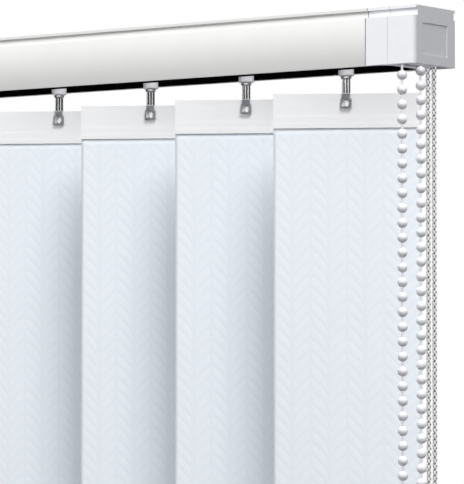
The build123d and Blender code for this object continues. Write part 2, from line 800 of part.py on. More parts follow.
with BuildPart() as cord_weight_wheel:
    with BuildSketch(Plane.YZ.offset(chain_x)):
        with Locations((cord_mid, cord_foot)):
            Circle(return_groove)
    extrude(amount=cord_radius + slide_gap, both=True)
    for side in (-1, 1):
        with BuildSketch(Plane.YZ.offset(chain_x + side * (cord_radius + slide_gap))):
            with Locations((cord_mid, cord_foot)):
                Circle(return_rim)
        extrude(amount=side * pulley_flange)
    with BuildSketch(Plane.YZ.offset(chain_x)):
        with Locations((cord_mid, cord_foot)):
            Circle(pin_radius + pin_gap)
    extrude(amount=return_half + overcut, both=True, mode=Mode.SUBTRACT)
save(cord_weight_wheel, "cord_weight_wheel")

# ------------------------------------------------------------------ bead chain and traverse cord
# The chain hangs straight and taut from the sprocket to its weight, so its route is two runs and
# two half turns of the wheels' own radius.
chain_front = rod_offset - chain_radius
chain_back = rod_offset + chain_radius
with BuildPart() as bead_chain:
    with BuildLine(Plane.YZ.offset(chain_x)) as chain_route:
        Line((chain_front, rod_z), (chain_front, chain_foot))
        ThreePointArc(
            (chain_front, chain_foot),
            (rod_offset, chain_foot - chain_radius),
            (chain_back, chain_foot),
        )
        Line((chain_back, chain_foot), (chain_back, rod_z))
        ThreePointArc((chain_back, rod_z), (rod_offset, rod_z + chain_radius), (chain_front, rod_z))
    with BuildSketch(Plane(origin=(chain_x, chain_front, rod_z), z_dir=(0, 0, -1))):
        Circle(bead_radius)
    sweep(path=chain_route.wires()[0])
save(bead_chain, "bead_chain")

# The endless cord: up from its weight, over a pulley, along the rail, round the return pulley and back.
with BuildPart() as traverse_cord:
    with BuildLine() as cord_route:
        Line((chain_x, cord_y[0], cord_foot), (chain_x, cord_y[0], pulley_z))
        ThreePointArc(
            (chain_x, cord_y[0], pulley_z),
            (pulley_x + pulley_radius * math.sqrt(0.5), cord_y[0], pulley_z + pulley_radius * math.sqrt(0.5)),
            (pulley_x, cord_y[0], cord_z),
        )
        Line((pulley_x, cord_y[0], cord_z), (far_pulley_x, cord_y[0], cord_z))
        ThreePointArc(
            (far_pulley_x, cord_y[0], cord_z),
            (far_pulley_x - return_radius, cord_mid, cord_z),
            (far_pulley_x, cord_y[1], cord_z),
        )
        Line((far_pulley_x, cord_y[1], cord_z), (pulley_x, cord_y[1], cord_z))
        ThreePointArc(
            (pulley_x, cord_y[1], cord_z),
            (pulley_x + pulley_radius * math.sqrt(0.5), cord_y[1], pulley_z + pulley_radius * math.sqrt(0.5)),
            (chain_x, cord_y[1], pulley_z),
        )
        Line((chain_x, cord_y[1], pulley_z), (chain_x, cord_y[1], cord_foot))
        ThreePointArc(
            (chain_x, cord_y[1], cord_foot),
            (chain_x, cord_mid, cord_foot - return_radius),
            (chain_x, cord_y[0], cord_foot),
        )
    with BuildSketch(Plane(origin=(chain_x, cord_y[0], cord_foot), z_dir=(0, 0, 1))):
        Circle(cord_radius)
    sweep(path=cord_route.wires()[0])
save(traverse_cord, "traverse_cord")

for label, piece, route, radius in (
    ("bead_chain", bead_chain, chain_route, bead_radius),
    ("traverse_cord", traverse_cord, cord_route, cord_radius),
):
    length = route.wires()[0].length
    print(label, "length", round(length, 1), "volume", round(piece.part.volume, 1),
          "section x length", round(math.pi * radius**2 * length, 1))
print("bend radii", "chain", round(chain_radius, 2), "cord", pulley_radius, round(return_radius, 2))
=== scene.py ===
"""Looks for a white vertical blind with a bead chain and a traverse cord, built around its CAD frame."""

import math

import bmesh
import bpy
import numpy as np
from mathutils import Matrix, Vector


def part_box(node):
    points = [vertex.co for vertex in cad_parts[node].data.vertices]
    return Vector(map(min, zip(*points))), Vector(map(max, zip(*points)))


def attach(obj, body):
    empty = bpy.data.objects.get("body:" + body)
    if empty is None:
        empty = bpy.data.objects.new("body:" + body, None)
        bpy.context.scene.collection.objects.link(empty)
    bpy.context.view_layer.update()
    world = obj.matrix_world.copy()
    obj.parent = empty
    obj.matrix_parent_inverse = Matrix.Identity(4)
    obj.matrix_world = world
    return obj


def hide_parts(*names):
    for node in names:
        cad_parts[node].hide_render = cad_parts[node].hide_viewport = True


bl_info = {
    "name": "Vertical blind",
    "version": (1, 0, 0),
    "blender": (4, 5, 0),
    "location": "View3D > Sidebar > Blind",
    "description": "Finishes a vertical blind: fabric vanes, bead chain, braided cord and moulded parts",
    "category": "Object",
}

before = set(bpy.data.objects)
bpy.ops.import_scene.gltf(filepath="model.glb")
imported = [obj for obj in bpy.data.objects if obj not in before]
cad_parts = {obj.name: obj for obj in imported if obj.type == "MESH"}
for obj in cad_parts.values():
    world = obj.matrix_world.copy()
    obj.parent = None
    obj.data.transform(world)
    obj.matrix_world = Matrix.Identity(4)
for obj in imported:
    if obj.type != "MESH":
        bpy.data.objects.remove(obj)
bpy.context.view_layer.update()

MM = 0.001
VANES = sorted(int(name.split("_")[1]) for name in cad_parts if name.startswith("hanger_"))


# ---------------------------------------------------------------- places read from the frame
def span(node):
    """Size of a CAD node along X, Y and Z, in metres."""
    low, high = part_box(node)
    return high - low


def middle(node):
    """Middle of a CAD node's box, in metres."""
    low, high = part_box(node)
    return (low + high) / 2


# a turned vane's box has a diagonal longer than the vane is wide, by about the depth of its pocket
POCKET_DEPTH = 3 * MM
VANE_WIDTH = math.hypot(span("vane_1").x, span("vane_1").y) - POCKET_DEPTH
VANE_TURN = math.radians(30)
VANE_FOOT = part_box("vane_1")[0].z
FABRIC_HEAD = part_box("vane_1")[1].z


# ---------------------------------------------------------------- colours, nodes and materials
def linear(colour):
    """An sRGB hex colour, such as "#E2E9F1", as linear red, green, blue and alpha."""
    channels = [int(colour[i : i + 2], 16) / 255 for i in (1, 3, 5)]
    return [c / 12.92 if c <= 0.04045 else ((c + 0.055) / 1.055) ** 2.4 for c in channels] + [1.0]


def add_node(tree, kind, inputs=None, **settings):
    """Add a node with its settings. inputs maps a socket to a value, or to a node or socket to link."""
    node = tree.nodes.new(kind)
    for name, value in settings.items():
        setattr(node, name, value)
    for key, value in (inputs or {}).items():
        if isinstance(value, bpy.types.Node):
            tree.links.new(value.outputs[0], node.inputs[key])
        elif isinstance(value, bpy.types.NodeSocket):
            tree.links.new(value, node.inputs[key])
        else:
            node.inputs[key].default_value = value
    return node


def new_material(name, inputs):
    """A material whose Principled shader has these constants. Returns it with its tree and shader."""
    material = bpy.data.materials.new(name)
    material.use_nodes = True
    tree = material.node_tree
    tree.nodes.clear()
    shader = add_node(tree, "ShaderNodeBsdfPrincipled", inputs)
    add_node(tree, "ShaderNodeOutputMaterial", {"Surface": shader})
    return material, tree, shader


def speckle(tree, size, detail, squeeze=None):
    """Grains of this size in metres. A squeeze below 1 draws them out into lines along that axis.

    They lie in the piece's own coordinates, so they keep their real size and ride with the piece.
    """
    place = add_node(tree, "ShaderNodeTexCoord").outputs["Object"]
    if squeeze:
        place = add_node(tree, "ShaderNodeMapping", {"Vector": place, "Scale": squeeze})
    return add_node(tree, "ShaderNodeTexNoise", {"Vector": place, "Scale": 1 / size, "Detail": detail})


def dress(tree, shader, height, depth, shade, colour, other):
    """Link a relief of this depth in metres, and a colour that goes from one to the other with shade."""
    bump = add_node(tree, "ShaderNodeBump", {"Strength": 1.0, "Distance": depth, "Height": height})
    tree.links.new(bump.outputs["Normal"], shader.inputs["Normal"])
    mix = add_node(
        tree,
        "ShaderNodeMix",
        {"Factor": shade, "A": linear(colour), "B": linear(other)},
        data_type="RGBA",
    )
    tree.links.new(mix.outputs["Result"], shader.inputs["Base Color"])


def grain(tree, shader, size, depth, colour, other):
    """Even surface grain, over a colour that drifts between two close ones ten grains apart."""
    dress(tree, shader, speckle(tree, size, 2.0), depth, speckle(tree, 10 * size, 2.0), colour, other)


def powder_coated_aluminium():
    """Extruded aluminium under white polyester powder: a smooth satin skin with a faint orange peel."""
    look = bpy.context.scene.blind_rail
    name = "powder_coated_aluminium"
    material, tree, shader = new_material(name, {"Roughness": look.rail_roughness, "IOR": 1.5})
    # orange peel is about 1.5 mm across and a few microns deep
    grain(tree, shader, 1.5 * MM, 0.006 * MM, look.rail_colour, "#F2F2F1")
    return material


def extruded_black_pvc():
    """Black PVC strip, drawn through a die: matt and near black, with fine draw lines along it. Its black is
    partly painted shade, for the rail's dark open underside.
    """
    material, tree, shader = new_material(
        "extruded_black_pvc", {"Roughness": 0.55, "IOR": 1.53, "Specular IOR Level": 0.0}
    )
    # its specular level is 0 because the strip lies in the rail's shade, where it shows as painted shade:
    # only black, with no reflection to lighten it
    # draw lines 0.5 mm apart
    lines = speckle(tree, 0.5 * MM, 1.0, squeeze=(0.02, 1.0, 1.0))
    dress(tree, shader, lines, 0.01 * MM, lines, "#060607", "#141416")
    return material


def moulded_abs():
    """Injection moulded white ABS from a lightly spark-eroded tool: a close matt grain, a little cool. Its
    joints carry painted shade.
    """
    look = bpy.context.scene.blind_rail
    material, tree, shader = new_material("moulded_abs", {"Roughness": 0.42, "IOR": 1.54})
    # spark-eroded grain is about 0.25 mm; it is drawn at 0.6 mm so that it shows
    grain(tree, shader, 0.6 * MM, 0.008 * MM, look.cap_colour, "#E9EAEE")
    # painted shade in the hairline joints, standing in for a gap's shadow: the first section stands off the
    # rail more than the second off the first
    plain = shader.inputs["Base Color"].links[0].from_socket
    place = add_node(tree, "ShaderNodeTexCoord").outputs["Object"]
    along = add_node(tree, "ShaderNodeSeparateXYZ", {"Vector": place}).outputs["X"]
    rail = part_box("head_rail")
    # each joint's place, half the width of its painted shade and the colour of that painted shade
    painted_joint_shades = (
        (rail[0].x, 0.5 * MM, "#5C5D60"),
        (rail[1].x, 0.5 * MM, "#5C5D60"),
        (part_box("control_housing")[1].x, 0.1 * MM, "#8F9094"),
    )
    # darken the colour near each joint: painted shade, not a groove in the mesh
    for joint, width, shade in painted_joint_shades:
        off = add_node(tree, "ShaderNodeMath", {0: along, 1: joint}, operation="SUBTRACT")
        near = add_node(tree, "ShaderNodeMath", {0: off}, operation="ABSOLUTE")
        clear = add_node(
            tree, "ShaderNodeMapRange", {"Value": near, "From Min": 0.8 * width, "From Max": 1.2 * width}
        )
        plain = add_node(
            tree,
            "ShaderNodeMix",
            {"Factor": clear, "A": linear(shade), "B": plain},
            data_type="RGBA",
        ).outputs["Result"]
    tree.links.new(plain, shader.inputs["Base Color"])
    return material


def moulded_acetal():
    """Natural acetal, as the carriers and wheels are: slippery, faintly waxy white with soft shading."""
    material, tree, shader = new_material(
        "moulded_acetal",
        {
            "Roughness": 0.34,
            "IOR": 1.48,
            "Subsurface Weight": 0.15,
            "Subsurface Radius": (0.6, 0.6, 0.65),
            "Subsurface Scale": 1.0 * MM,
        },
    )
    grain(tree, shader, 0.8 * MM, 0.005 * MM, "#E6E5EA", "#EFEFF2")
    return material


def clear_polycarbonate():
    """Moulded clear polycarbonate: glassy, so its ribs and edges gather dark lines and bright ones."""
    material, tree, shader = new_material(
        "clear_polycarbonate", {"Roughness": 0.06, "IOR": 1.585, "Transmission Weight": 1.0}
    )
    # flow ripple from the mould gate, about 2 mm across
    ripple = speckle(tree, 2 * MM, 1.0)
    dress(tree, shader, ripple, 0.02 * MM, ripple, "#DADCDF", "#ECEDEF")
    return material


def extruded_hanger_pvc():
    """Rigid white PVC profile, as the hangers are: smooth, with faint draw lines."""
    material, tree, shader = new_material("extruded_hanger_pvc", {"Roughness": 0.4, "IOR": 1.53})
    # draw lines 1.2 mm apart, which run along the profile
    lines = speckle(tree, 1.2 * MM, 1.5, squeeze=(0.03, 0.03, 1.0))
    dress(tree, shader, lines, 0.02 * MM, lines, "#EFF0F1", "#F5F5F6")
    return material


def drawn_aluminium():
    """Drawn aluminium rod: bare metal with fine lines along it, so highlights spread across the rod."""
    material, tree, shader = new_material("drawn_aluminium", {"Roughness": 0.32, "Metallic": 1.0})
    # die lines 0.3 mm apart
    lines = speckle(tree, 0.3 * MM, 2.0, squeeze=(0.02, 1.0, 1.0))
    dress(tree, shader, lines, 0.008 * MM, lines, "#BFC1C4", "#D5D6D8")
    return material


def zinc_plated_steel():
    """Zinc plated steel, as the weights and pins are: grey with a faint blue cast and cloudy patches."""
    material, tree, shader = new_material("zinc_plated_steel", {"Roughness": 0.36, "Metallic": 1.0})
    grain(tree, shader, 2.5 * MM, 0.006 * MM, "#9DA1A8", "#B9BCC2")
    return material


def moulded_bead_plastic():
    """Glossy moulded polystyrene beads: pearly white, with tight highlights and darker rims."""
    look = bpy.context.scene.blind_chain
    material, tree, shader = new_material(
        "moulded_bead_plastic",
        {
            "Roughness": 0.18,
            "IOR": 1.59,
            "Subsurface Weight": 0.3,
            "Subsurface Radius": (1.0, 1.0, 1.0),
            "Subsurface Scale": 1.2 * MM,
        },
    )
    grain(tree, shader, 2.0 * MM, 0.01 * MM, look.colour, "#EDECEF")
    return material


def braided_polyester():
    """Braided white polyester cord: bright matt strands, with painted grey shade down between them."""
    look = bpy.context.scene.blind_cord
    material, tree, shader = new_material("braided_polyester", {"Roughness": 0.7, "Sheen Weight": 0.2})
    # fibres are about 0.2 mm apart; they are drawn at 0.5 mm so that they show
    fibre = speckle(tree, 0.5 * MM, 2.0)
    # painted shade: valleys between the strands take the shade colour and crests the cord colour, by how far
    # out each point stands
    crest = add_node(tree, "ShaderNodeAttribute", attribute_name="strand_crest").outputs["Fac"]
    dress(tree, shader, fibre, 0.04 * MM, crest, look.painted_shade_colour, look.colour)
    return material


def jacquard_polyester():
    """Stiffened polyester, jacquard woven: columns of curved satin leaves, like wheat, on a plain ground."""
    look = bpy.context.scene.blind_fabric
    material, tree, shader = new_material(
        "jacquard_polyester", {"Roughness": 0.62, "Sheen Weight": 0.12, "Sheen Roughness": 0.4}
    )
    place = add_node(tree, "ShaderNodeTexCoord").outputs["Object"]
    directions = add_node(tree, "ShaderNodeSeparateXYZ", {"Vector": place})
    across, up = directions.outputs["X"], directions.outputs["Z"]
    maths = "ShaderNodeMath"

    # how far across its column a point is: 0 on the line where leaves part, 1 on the stem where they meet
    from_edge = add_node(tree, maths, {0: across, 1: VANE_WIDTH / 2}, operation="ADD")
    column = add_node(tree, maths, {0: from_edge, 1: look.column_width}, operation="DIVIDE")
    parting = add_node(tree, maths, {0: column, 1: 1.0}, operation="PINGPONG")
    stem = add_node(tree, maths, {0: 1.0, 1: parting}, operation="SUBTRACT")

    # a leaf leaves its stem nearly upright and curves outwards
    curve = add_node(tree, maths, {0: stem, 1: look.leaf_curve}, operation="POWER")
    rise = add_node(tree, maths, {0: curve, 1: look.leaf_rise}, operation="MULTIPLY")
    level = add_node(tree, maths, {0: up, 1: rise}, operation="SUBTRACT")
    row = add_node(tree, maths, {0: level, 1: look.leaf_pitch}, operation="DIVIDE")
    leaf = add_node(tree, maths, {0: row}, operation="FRACT")
    profile = add_node(tree, "ShaderNodeValToRGB", {"Fac": leaf})
    profile.color_ramp.interpolation = "EASE"
    stops = ((0.0, 0.0), (0.16, 0.1), (0.42, 0.9), (0.78, 1.0), (1.0, 0.0))
    ramp = profile.color_ramp.elements
    while len(ramp) < len(stops):
        ramp.new(0.5)
    for element, (position, value) in zip(ramp, stops):
        element.position = position
        element.color = (value, value, value, 1.0)

    # leaves thin out at both ends, where plain upright threads show
    ends = []
    for distance, low, high in ((stem, 0.04, 0.2), (parting, 0.02, 0.16)):
        limits = {"Value": distance, "From Min": low, "From Max": high}
        ends.append(add_node(tree, "ShaderNodeMapRange", limits, interpolation_type="SMOOTHSTEP"))
    inside = add_node(tree, maths, {0: ends[0], 1: ends[1]}, operation="MULTIPLY")
    leaves = add_node(tree, maths, {0: profile, 1: inside}, operation="MULTIPLY")
    turn = add_node(tree, maths, {0: across, 1: 2 * math.pi / look.thread_spacing}, operation="MULTIPLY")
    threads = add_node(tree, maths, {0: turn}, operation="SINE")
    outside = add_node(tree, maths, {0: 1.0, 1: inside}, operation="SUBTRACT")
    shown = add_node(tree, maths, {0: threads, 1: outside}, operation="MULTIPLY")
    upright = add_node(tree, maths, {0: shown, 1: 0.25}, operation="MULTIPLY")

    # the weave itself is about 0.3 mm; it is drawn at 0.7 mm so that it shows
    weave = add_node(tree, maths, {0: speckle(tree, 0.7 * MM, 1.0), 1: 0.25}, operation="MULTIPLY")
    woven = add_node(tree, maths, {0: leaves, 1: upright}, operation="ADD")
    relief = add_node(tree, maths, {0: woven, 1: weave}, operation="ADD")
    dress(tree, shader, relief, look.relief, relief, look.ground_colour, look.colour)
    return material


def studio_floor():
    """Pale seamless floor of rolled vinyl: matt, with a slight unevenness."""
    material, tree, shader = new_material("rolled_vinyl_floor", {"Roughness": 0.8})
    grain(tree, shader, 40 * MM, 0.1 * MM, "#EDEDEB", "#F2F2F0")
    return material


# ---------------------------------------------------------------- small mesh tools
def hung_place(number):
    """Where the pieces of one vane stand: under their carrier, turned as the vane is at rest."""
    return Matrix.Translation((middle(f"hanger_{number}").x, 0, 0)) @ Matrix.Rotation(VANE_TURN, 4, "Z")


def link(name, mesh, material, body, place=None):
    """Put a mesh in the scene as a piece with its material, in its place, riding on a body."""
    piece = bpy.data.objects.new(name, mesh)
    bpy.context.scene.collection.objects.link(piece)
    piece.data.materials.append(material)
    if place:
        piece.matrix_world = place
    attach(piece, body)
    return piece


def mesh_from(name, points, faces):
    """A mesh from points and faces, smooth shaded."""
    mesh = bpy.data.meshes.new(name)
    mesh.from_pydata([tuple(p) for p in points], [], faces)
    mesh.validate()
    mesh.polygons.foreach_set("use_smooth", [True] * len(mesh.polygons))
    mesh.update()
    return mesh


def spline_points(name, route, step):
    """Points about a step apart along the smooth NURBS spline that a route's control points give."""
    curve = bpy.data.curves.new(name, "CURVE")
    curve.dimensions = "3D"
    curve.resolution_u = 24
    spline = curve.splines.new("NURBS")
    spline.points.add(len(route) - 1)
    for point, place in zip(spline.points, route):
        point.co = place
    spline.order_u = 3
    spline.use_endpoint_u = True
    carrier = bpy.data.objects.new(name, curve)
    mesh = bpy.data.meshes.new_from_object(carrier)
    line = np.array([v.co for v in mesh.vertices], float)
    bpy.data.meshes.remove(mesh)
    bpy.data.objects.remove(carrier)
    bpy.data.curves.remove(curve)
    along = np.concatenate([[0], np.cumsum(np.linalg.norm(np.diff(line, axis=0), axis=1))])
    count = max(2, round(along[-1] / step))
    at = np.linspace(0, along[-1], count + 1)
    return np.stack([np.interp(at, along, line[:, k]) for k in range(3)], axis=1), along[-1]


def carried_frames(line):
    """Two unit vectors square to the line at each of its points, carried along without twist."""
    ahead = np.gradient(line, axis=0)
    ahead /= np.linalg.norm(ahead, axis=1)[:, None]
    side = np.cross(ahead[0], (0.0, 0.0, 1.0))
    if np.linalg.norm(side) < 0.1:
        side = np.cross(ahead[0], (0.0, 1.0, 0.0))
    sides = []
    for direction in ahead:
        side = side - direction * (side @ direction)
        side /= np.linalg.norm(side)
        sides.append(side)
    sides = np.array(sides)
    return sides, np.cross(ahead, sides)


def tube(line, radius, sides, first=0):
    """Points and faces of an open tube that follows a line. first is where its points start in the mesh."""
    a, b = carried_frames(line)
    turns = np.arange(sides) * 2 * math.pi / sides
    rings = line[:, None, :] + radius * (
        np.cos(turns)[None, :, None] * a[:, None, :] + np.sin(turns)[None, :, None] * b[:, None, :]
    )
    faces = []
    for i in range(len(line) - 1):
        for k in range(sides):
            near, far = first + i * sides, first + (i + 1) * sides
            faces.append((near + k, near + (k + 1) % sides, far + (k + 1) % sides, far + k))
    return rings.reshape(-1, 3), faces


def moulding(outlines, thick, edge, place):
    """Points and faces of a flat moulding with eased edges. Later outlines are holes in the first."""
    curve = bpy.data.curves.new("outline", "CURVE")
    curve.dimensions = "2D"
    curve.fill_mode = "BOTH"
    curve.extrude = thick / 2 - edge
    curve.bevel_depth = edge
    curve.bevel_resolution = 1
    curve.offset = -edge
    for outline in outlines:
        spline = curve.splines.new("POLY")
        spline.points.add(len(outline) - 1)
        for point, (x, y) in zip(spline.points, outline):
            point.co = (x, y, 0, 1)
        spline.use_cyclic_u = True
    carrier = bpy.data.objects.new("outline", curve)
    mesh = bpy.data.meshes.new_from_object(carrier)
    points = [place @ v.co for v in mesh.vertices]
    faces = [tuple(face.vertices) for face in mesh.polygons]
    bpy.data.meshes.remove(mesh)
    bpy.data.objects.remove(carrier)
    bpy.data.curves.remove(curve)
    return points, faces


def ring(radius, count=24, x=0.0, y=0.0):
    """Points of a circle."""
    turns = np.arange(count) * 2 * math.pi / count
    return [(x + radius * math.cos(t), y + radius * math.sin(t)) for t in turns]


def rounded(width, height, corner, x=0.0, y=0.0, steps=4):
    """Points of a rectangle with rounded corners."""
    points = []
    for k, (across, up) in enumerate(((1, 1), (-1, 1), (-1, -1), (1, -1))):
        for t in np.linspace(k * math.pi / 2, (k + 1) * math.pi / 2, steps):
            points.append(
                (
                    x + across * (width / 2 - corner) + corner * math.cos(t),
                    y + up * (height / 2 - corner) + corner * math.sin(t),
                )
            )
    return points


# ---------------------------------------------------------------- settings
class BlindFabricSettings(bpy.types.PropertyGroup):
    """Sizes and colours of the vanes' fabric."""

    colour: bpy.props.StringProperty(
        name="Leaf colour", description="Satin leaves of the weave, as sRGB hex", default="#EEF4FA"
    )
    ground_colour: bpy.props.StringProperty(
        name="Ground colour", description="Plain ground of the weave, as sRGB hex", default="#EBF1F8"
    )
    column_width: bpy.props.FloatProperty(
        name="Column width",
        description="Width of one column of leaves",
        default=VANE_WIDTH / 8, unit="LENGTH",
    )
    leaf_pitch: bpy.props.FloatProperty(
        name="Leaf pitch",
        description="Height from one leaf to the next",
        default=7.8 * MM, unit="LENGTH",
    )
    leaf_rise: bpy.props.FloatProperty(
        name="Leaf rise",
        description="Height that a leaf climbs across its column",
        default=14 * MM, unit="LENGTH",
    )
    leaf_curve: bpy.props.FloatProperty(
        name="Leaf curve", description="How upright a leaf starts: lower is more upright", default=0.6
    )
    thread_spacing: bpy.props.FloatProperty(
        name="Thread spacing",
        description="Upright threads beside each stem",
        default=1.1 * MM, unit="LENGTH",
    )
    relief: bpy.props.FloatProperty(
        name="Relief",
        description="Height of the leaves above the ground",
        default=0.04 * MM, unit="LENGTH",
    )
    thickness: bpy.props.FloatProperty(
        name="Thickness",
        description="Thickness of the stiffened cloth",
        default=0.45 * MM, unit="LENGTH",
    )
    pocket_height: bpy.props.FloatProperty(
        name="Pocket height",
        description="Height of the sewn pocket at the foot",
        default=40 * MM, unit="LENGTH",
    )
    sway: bpy.props.FloatProperty(
        name="Sway", description="How far the hanging cloth strays", default=0.35 * MM, unit="LENGTH"
    )
    curl: bpy.props.FloatProperty(
        name="Curl", description="How far its side edges curl", default=0.5 * MM, unit="LENGTH"
    )
    stitch_pitch: bpy.props.FloatProperty(
        name="Stitch pitch", description="Stitch to stitch", default=3.0 * MM, unit="LENGTH"
    )
    stitch_length: bpy.props.FloatProperty(
        name="Stitch length", description="Length of a stitch", default=2.2 * MM, unit="LENGTH"
    )
    thread_diameter: bpy.props.FloatProperty(
        name="Thread diameter", description="Sewing thread", default=0.28 * MM, unit="LENGTH"
    )
    pocket_half: bpy.props.FloatProperty(
        name="Pocket half depth",
        description="Half the depth of the pocket",
        default=1.22 * MM, unit="LENGTH",
    )


class BlindChainSettings(bpy.types.PropertyGroup):
    """Sizes and colour of the bead chain."""

    bead_diameter: bpy.props.FloatProperty(
        name="Bead diameter", description="Diameter of a bead", default=6.0 * MM, unit="LENGTH"
    )
    bead_pitch: bpy.props.FloatProperty(
        name="Bead pitch", description="Bead to bead along the string", default=8.8 * MM, unit="LENGTH"
    )
    string_diameter: bpy.props.FloatProperty(
        name="String diameter",
        description="String that the beads are moulded on",
        default=1.5 * MM, unit="LENGTH",
    )
    sampling: bpy.props.FloatProperty(
        name="Sampling", description="Point to point along the route", default=1.5 * MM, unit="LENGTH"
    )
    first_bead: bpy.props.FloatProperty(
        name="First bead", description="Exit to the first bead", default=6.4 * MM, unit="LENGTH"
    )
    colour: bpy.props.StringProperty(
        name="Colour", description="Bead colour, as sRGB hex", default="#E2E1E6"
    )


class BlindCordSettings(bpy.types.PropertyGroup):
    """Sizes and colours of the braided traverse cord."""

    diameter: bpy.props.FloatProperty(
        name="Diameter", description="Diameter over the braid", default=2.8 * MM, unit="LENGTH"
    )
    braid_pitch: bpy.props.FloatProperty(
        name="Braid pitch",
        description="Length of one full turn of a strand",
        default=10.8 * MM, unit="LENGTH",
    )
    sampling: bpy.props.FloatProperty(
        name="Sampling", description="Point to point along the route", default=0.65 * MM, unit="LENGTH"
    )
    strands: bpy.props.IntProperty(
        name="Strands", description="Strands that go each way round", default=3
    )
    colour: bpy.props.StringProperty(
        name="Colour", description="Crests of the strands, as sRGB hex", default="#FAFAFA"
    )
    # painted shade in the valleys between the strands
    painted_shade_colour: bpy.props.StringProperty(
        name="Shade colour", description="Valleys between the strands, as sRGB hex", default="#4A4A4E"
    )


class BlindStemSettings(bpy.types.PropertyGroup):
    """Sizes of the clear stems."""

    neck_width: bpy.props.FloatProperty(
        name="Neck width", description="Ribbed neck, across the vane", default=5.0 * MM, unit="LENGTH"
    )
    neck_depth: bpy.props.FloatProperty(
        name="Neck depth", description="Ribbed neck, through the vane", default=4.4 * MM, unit="LENGTH"
    )
    rib_depth: bpy.props.FloatProperty(
        name="Rib depth",
        description="Depth of the valleys between ribs",
        default=0.9 * MM, unit="LENGTH",
    )
    flare_radius: bpy.props.FloatProperty(
        name="Flare radius",
        description="Disc under the carrier's collar",
        default=3.3 * MM, unit="LENGTH",
    )
    flare_gap: bpy.props.FloatProperty(
        name="Flare gap", description="Carrier's collar to the disc", default=0.2 * MM, unit="LENGTH"
    )
    flare_height: bpy.props.FloatProperty(
        name="Flare height", description="Thickness of the disc", default=1.4 * MM, unit="LENGTH"
    )
    clip_width: bpy.props.FloatProperty(
        name="Clip width",
        description="Square clip in front of the hanger",
        default=6.8 * MM, unit="LENGTH",
    )
    clip_height: bpy.props.FloatProperty(
        name="Clip height",
        description="Square clip in front of the hanger",
        default=6.4 * MM, unit="LENGTH",
    )
    jaw_thickness: bpy.props.FloatProperty(
        name="Jaw thickness",
        description="Each jaw that holds the hanger",
        default=1.25 * MM, unit="LENGTH",
    )
    jaw_gap: bpy.props.FloatProperty(
        name="Jaw gap", description="Middle of the hanger to a jaw", default=0.95 * MM, unit="LENGTH"
    )


class BlindRailSettings(bpy.types.PropertyGroup):
    """Colours and finish of the rail and its end pieces."""

    rail_colour: bpy.props.StringProperty(
        name="Rail colour", description="Powder coat, as sRGB hex", default="#ECECEB"
    )
    rail_roughness: bpy.props.FloatProperty(
        name="Rail roughness", description="Gloss of the powder coat", default=0.32, subtype="FACTOR"
    )
    cap_colour: bpy.props.StringProperty(
        name="End piece colour", description="Moulded end pieces, as sRGB hex", default="#E3E4E8"
    )


class BlindStageSettings(bpy.types.PropertyGroup):
    """Camera, light and floor."""

    camera_place: bpy.props.FloatVectorProperty(
        name="Camera place",
        description="Where the camera stands",
        default=(1.27507, -1.60105, -0.21612),
        subtype="TRANSLATION",
        unit="LENGTH",
    )
    camera_yaw: bpy.props.FloatProperty(
        name="Camera yaw",
        description="Turn of the view to the left of straight on",
        default=math.radians(36.24),
        subtype="ANGLE",
    )
    camera_pitch: bpy.props.FloatProperty(
        name="Camera pitch",
        description="Tilt of the view upwards",
        default=math.radians(2.306), subtype="ANGLE",
    )
    lens: bpy.props.FloatProperty(
        name="Lens", description="Focal length in millimetres", default=237.57
    )
    key_power: bpy.props.FloatProperty(name="Key light", description="Power in watts", default=60.0)
    vane_key_power: bpy.props.FloatProperty(
        name="Vane key light", description="Power in watts of the one on the vanes", default=60.0
    )
    strip_power: bpy.props.FloatProperty(
        name="Strip lights", description="Power of the left one in watts", default=9.0
    )
    window_power: bpy.props.FloatProperty(
        name="Window light", description="Power in watts", default=30.0
    )
    light_distance: bpy.props.FloatProperty(
        name="Light distance", description="How far the lights stand off", default=2.5, unit="LENGTH"
    )
    light_target: bpy.props.FloatVectorProperty(
        name="Light target", description="Where the lights aim", default=(0.0, 0.0, -0.1), unit="LENGTH"
    )
    floor_radius: bpy.props.FloatProperty(
        name="Floor radius", description="Radius of the floor", default=3.0, unit="LENGTH"
    )
    floor_drop: bpy.props.FloatProperty(
        name="Floor drop", description="Foot of the vanes to the floor", default=40 * MM, unit="LENGTH"
    )


